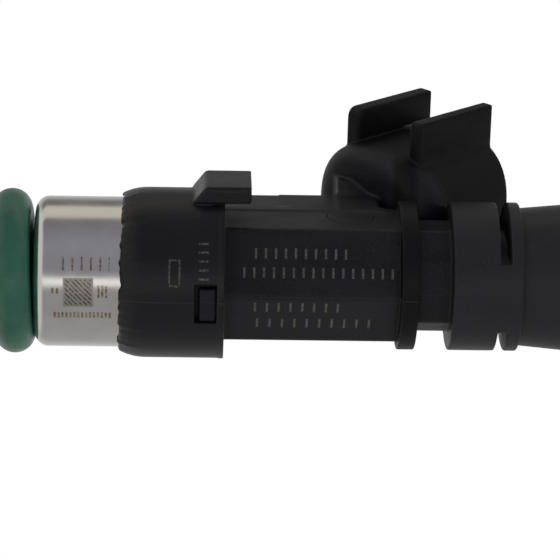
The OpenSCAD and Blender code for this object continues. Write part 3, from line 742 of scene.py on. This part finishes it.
def fuel_tube():
    flange_z = UPPER_HIGH[2] + 0.2
    outline = [
        (TUBE_BORE_R, TUBE_LOW[2]), (LAND_R, TUBE_LOW[2]), (LAND_R, LAND_END_Z), (TUBE_R, LAND_END_Z),
        (TUBE_R, BELL_Z), (LAND_R, BELL_TOP_Z), (LAND_R, flange_z), (TUBE_HIGH[0], flange_z),
        (TUBE_HIGH[0], flange_z + 1.2), (LAND_R, TUBE_HIGH[2]), (INLET_BORE_R, TUBE_HIGH[2]),
        (INLET_BORE_R, BELL_TOP_Z), (TUBE_BORE_R, BELL_Z),
    ]
    return lathe("fuel_tube_shell", soften(outline, 0.15))


def tip_cap():
    radius, top = CAP_HIGH[0], CAP_HIGH[2]
    outline = [
        (CAP_OPENING_R, 0), (radius, 0), (radius, 1.6), (radius - 0.18, 1.75), (radius - 0.18, 2.1),
        (radius, 2.25), (radius, top), (LAND_R + HUG, top), (LAND_R + HUG, CAP_FLOOR),
        (CAP_OPENING_R, CAP_FLOOR),
    ]
    return lathe("tip_cap_body", soften(outline, 0.14))


def seal(name, low, high, lean):
    """A rubber ring with a faint mould flash round its section, leaning in its groove."""
    section = SEAL_SECTION / 2 - 0.015
    middle = (SEAL_OD - SEAL_SECTION) / 2
    outline = []
    for k in range(72):
        a = 2 * math.pi * k / 72
        flash = 0.012 * math.exp(-((math.remainder(a - math.radians(45), math.pi)) / 0.06) ** 2)
        outline.append((middle + (section + flash) * math.cos(a), (section + flash) * math.sin(a)))
    thing = lathe(name, outline, steps=240)
    turn = Matrix.Rotation(math.radians(SEAL_TURN), 4, "Z") @ Matrix.Rotation(math.radians(lean), 4, "Y")
    centre = Vector((0, 0, (low[2] + high[2]) / 2 * MM))
    thing.data.transform(Matrix.Translation(centre) @ turn)
    return thing


def filter_collar():
    low, high = cad("filter_collar")
    inner = 2.52
    outline = [(inner, low[2]), (high[0], low[2]), (high[0], high[2]), (inner, high[2])]
    return lathe("filter_collar_sleeve", soften(outline, 0.12))


def blade(side):
    """A stamped blade with rolled edges and a lead-in at its tip, bent to run along the socket."""
    half = BLADE_T / 2 - 0.004
    middle = SOCKET_Y + side * BLADE_PITCH / 2
    run = (SOCKET_X - BLADE_X) / math.cos(SLOPE)
    bend_z = SOCKET_Z - (SOCKET_X - BLADE_X) * math.tan(SLOPE)
    along = Vector((math.cos(SLOPE), 0, math.sin(SLOPE)))
    path = [(Vector((BLADE_X, 0, BLADE_FOOT_Z + 0.004)), 1.0, 1.0)]
    rise = bend_z - BLADE_BEND - BLADE_FOOT_Z
    path += [(Vector((BLADE_X, 0, BLADE_FOOT_Z + rise * k / 6)), 1.0, 1.0) for k in range(1, 7)]
    start = Vector((BLADE_X, 0, bend_z))
    for k in range(1, 8):
        f = k / 8
        a, b = start - Vector((0, 0, BLADE_BEND)), start + along * BLADE_BEND
        path.append((a.lerp(start, f).lerp(start.lerp(b, f), f), 1.0, 1.0))
    length = run + BLADE_REACH
    for k in range(12):
        path.append((start + along * (BLADE_BEND + (length - BLADE_LEAD - BLADE_BEND) * k / 11), 1.0, 1.0))
    for k in range(1, 6):
        at = start + along * (length - BLADE_LEAD + 0.78 * k / 5)
        path.append((at, 1.0 - 0.12 * k / 5, 1.0 - 0.62 * k / 5))
    corner = 0.1
    section = []
    for sx, sy, first in ((1, 1, 0), (-1, 1, 90), (-1, -1, 180), (1, -1, 270)):
        for k in range(5):
            a = math.radians(first + 90 * k / 4)
            section.append((sx * (half - corner) + corner * math.cos(a),
                            sy * (BLADE_W / 2 - 0.004 - corner) + corner * math.sin(a)))
    points = [p for p, _, _ in path]
    corners = []
    for i, (p, wide, thick) in enumerate(path):
        tangent = (points[min(i + 1, len(points) - 1)] - points[max(i - 1, 0)]).normalized()
        across = Vector((0, 1, 0)).cross(tangent)
        for s, t in section:
            corners.append(p + across * s * thick + Vector((0, t * wide + middle, 0)))
    n = len(section)
    quads = []
    for i in range(len(path) - 1):
        for k in range(n):
            m = (k + 1) % n
            quads.append([i * n + k, i * n + m, (i + 1) * n + m, (i + 1) * n + k])
    caps = [list(range(n))[::-1], [(len(path) - 1) * n + k for k in range(n)]]
    corners = np.array([tuple(c) for c in corners]) * MM
    name = "blade_left" if side > 0 else "blade_right"
    thing = mesh_object(name, corners, [np.array(quads), np.array(caps)])
    thing.data.set_sharp_from_angle(angle=math.radians(40))
    return thing


# ---------------------------------------------------------------- putting it together
def add(thing, node, slot_name, paint):
    """A piece that stands for one CAD node of the injector's fixed body."""
    thing.data.materials.append(paint[slot_name])
    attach(thing, "injector")
    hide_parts(node)


def build(paint):
    """The pieces that stand for a CAD node, then the paint of every CAD node that stays."""
    pieces = [
        ("overmould", overmould(), "body_plastic"),
        ("locating_ring", locating_ring(), "ring_plastic"),
        ("magnet_housing", magnet_housing(), "housing_steel"),
        ("fuel_tube", fuel_tube(), "stainless_tube"),
        ("tip_cap", tip_cap(), "cap_plastic"),
        ("lower_seal", seal("lower_seal_ring", LOWER_LOW, LOWER_HIGH, 2.0), "green_rubber"),
        ("upper_seal", seal("upper_seal_ring", UPPER_LOW, UPPER_HIGH, 0.0), "green_rubber"),
        ("filter_collar", filter_collar(), "brass"),
        ("terminal_left", blade(1), "tinned_blade"),
        ("terminal_right", blade(-1), "tinned_blade"),
    ]
    for node, thing, slot_name in pieces:
        add(thing, node, slot_name, paint)
    replaced = {node for node, _, _ in pieces}
    for part in frame["record"]["subparts"]:
        node = part["node"]
        if node in replaced:
            continue
        thing = frame["nodes"][node]
        thing.data.materials.clear()
        thing.data.materials.append(paint[part["material_slot"]])


def floor():
    """A small round pale plinth under the tip, too small to reach into the picture."""
    outline = [(0, -6.0), (62.0, -6.0), (62.0, -0.02), (0, -0.02)]
    thing = lathe("floor", soften(outline, 1.0), steps=128)
    thing.data.materials.append(floor_paint("floor_paint"))
    thing.visible_glossy = False


def camera():
    """Level with the lower part of the body, 235 mm away, turned so that the axis lies across the picture."""
    distance, foot, aim_z, aim_down, roll, field = 235.0, 22.8, 29.9, 0.57, 0.745, 12.07
    place = Vector((0, 0, foot)) - AWAY * distance
    aim = Vector((0, 0, aim_z)) - UPWARD * aim_down
    ahead = (aim - place).normalized()
    right = Vector((0, 0, 1)) * math.cos(math.radians(roll)) + UPWARD * math.sin(math.radians(roll))
    right = (right - ahead * right.dot(ahead)).normalized()
    lens = bpy.data.cameras.new("camera")
    lens.sensor_width = 36
    lens.lens = lens.sensor_width / (2 * math.tan(math.radians(field) / 2))
    lens.clip_start = 0.01
    thing = bpy.data.objects.new("camera", lens)
    bpy.context.scene.collection.objects.link(thing)
    turn = Matrix((right, right.cross(ahead), -ahead)).transposed().to_4x4()
    turn.translation = place * MM
    thing.matrix_world = turn
    bpy.context.scene.camera = thing


def world():
    """A white backdrop and, round the injector's axis soft bands of light by angle from the front."""
    bands = [
        (-180, 0.80, 0.80, 0.80), (-130, 0.45, 0.45, 0.45), (-60, 0.37, 0.37, 0.37), (-30, 0.36, 0.36, 0.36),
        (-25, 0.45, 0.45, 0.45), (-20, 1.30, 1.28, 1.22), (-14, 1.30, 1.28, 1.22), (-8, 0.38, 0.37, 0.38),
        (0, 0.30, 0.30, 0.34), (40, 0.33, 0.33, 0.37), (78, 0.24, 0.23, 0.25), (86, 0.26, 0.25, 0.25),
        (91, 0.75, 0.71, 0.63), (115, 0.75, 0.71, 0.63), (121, 0.22, 0.21, 0.21), (136, 0.22, 0.22, 0.22),
        (146, 0.45, 0.45, 0.45), (180, 0.80, 0.80, 0.80),
    ]
    made = bpy.data.worlds.new("light_tent")
    bpy.context.scene.world = made
    made.use_nodes = True
    tree = made.node_tree
    tree.nodes.clear()

    def node(kind, **settings):
        new = tree.nodes.new(kind)
        for key, value in settings.items():
            setattr(new, key, value)
        return new

    def dot(vector, direction):
        new = node("ShaderNodeVectorMath", operation="DOT_PRODUCT")
        tree.links.new(vector, new.inputs[0])
        new.inputs[1].default_value = direction
        return new.outputs["Value"]

    direction = node("ShaderNodeTexCoord").outputs["Generated"]
    turn = node("ShaderNodeMath", operation="ARCTAN2")
    tree.links.new(dot(direction, UPWARD), turn.inputs[0])
    tree.links.new(dot(direction, -AWAY), turn.inputs[1])
    share = node("ShaderNodeMapRange")
    share.inputs["From Min"].default_value = -math.pi
    share.inputs["From Max"].default_value = math.pi
    tree.links.new(turn.outputs[0], share.inputs["Value"])
    ramp = node("ShaderNodeValToRGB")
    ramp.color_ramp.elements.remove(ramp.color_ramp.elements[1])
    for i, (degrees, *colour) in enumerate(bands):
        at = (degrees + 180) / 360
        stop = ramp.color_ramp.elements[0] if i == 0 else ramp.color_ramp.elements.new(at)
        stop.position = at
        stop.color = (*colour, 1)
    tree.links.new(share.outputs[0], ramp.inputs[0])
    rise = dot(direction, (0, 0, 1))

    def over(under, start, end, colour):
        share = node("ShaderNodeMapRange", interpolation_type="SMOOTHSTEP")
        share.inputs["From Min"].default_value = start
        share.inputs["From Max"].default_value = end
        tree.links.new(rise, share.inputs["Value"])
        mix = node("ShaderNodeMix", data_type="RGBA")
        tree.links.new(share.outputs[0], mix.inputs["Factor"])
        tree.links.new(under, mix.inputs[6])
        mix.inputs[7].default_value = (*colour, 1)
        return mix.outputs[2]

    tip_light = over(ramp.outputs[0], -0.35, -0.6, (0.78, 0.76, 0.74))
    tip_dark = over(tip_light, -0.9, -0.97, (0.04, 0.04, 0.04))
    tent = node("ShaderNodeBackground")
    tree.links.new(tip_dark, tent.inputs["Color"])
    backdrop = node("ShaderNodeBackground")
    backdrop.inputs["Color"].default_value = (1, 1, 1, 1)
    choose = node("ShaderNodeMixShader")
    tree.links.new(node("ShaderNodeLightPath").outputs["Is Camera Ray"], choose.inputs[0])
    tree.links.new(tent.outputs[0], choose.inputs[1])
    tree.links.new(backdrop.outputs[0], choose.inputs[2])
    tree.links.new(choose.outputs[0], node("ShaderNodeOutputWorld").inputs["Surface"])
    bpy.context.scene.view_settings.view_transform = "Standard"


def main():
    camera()
    world()
    floor()
    build(paints())


main()
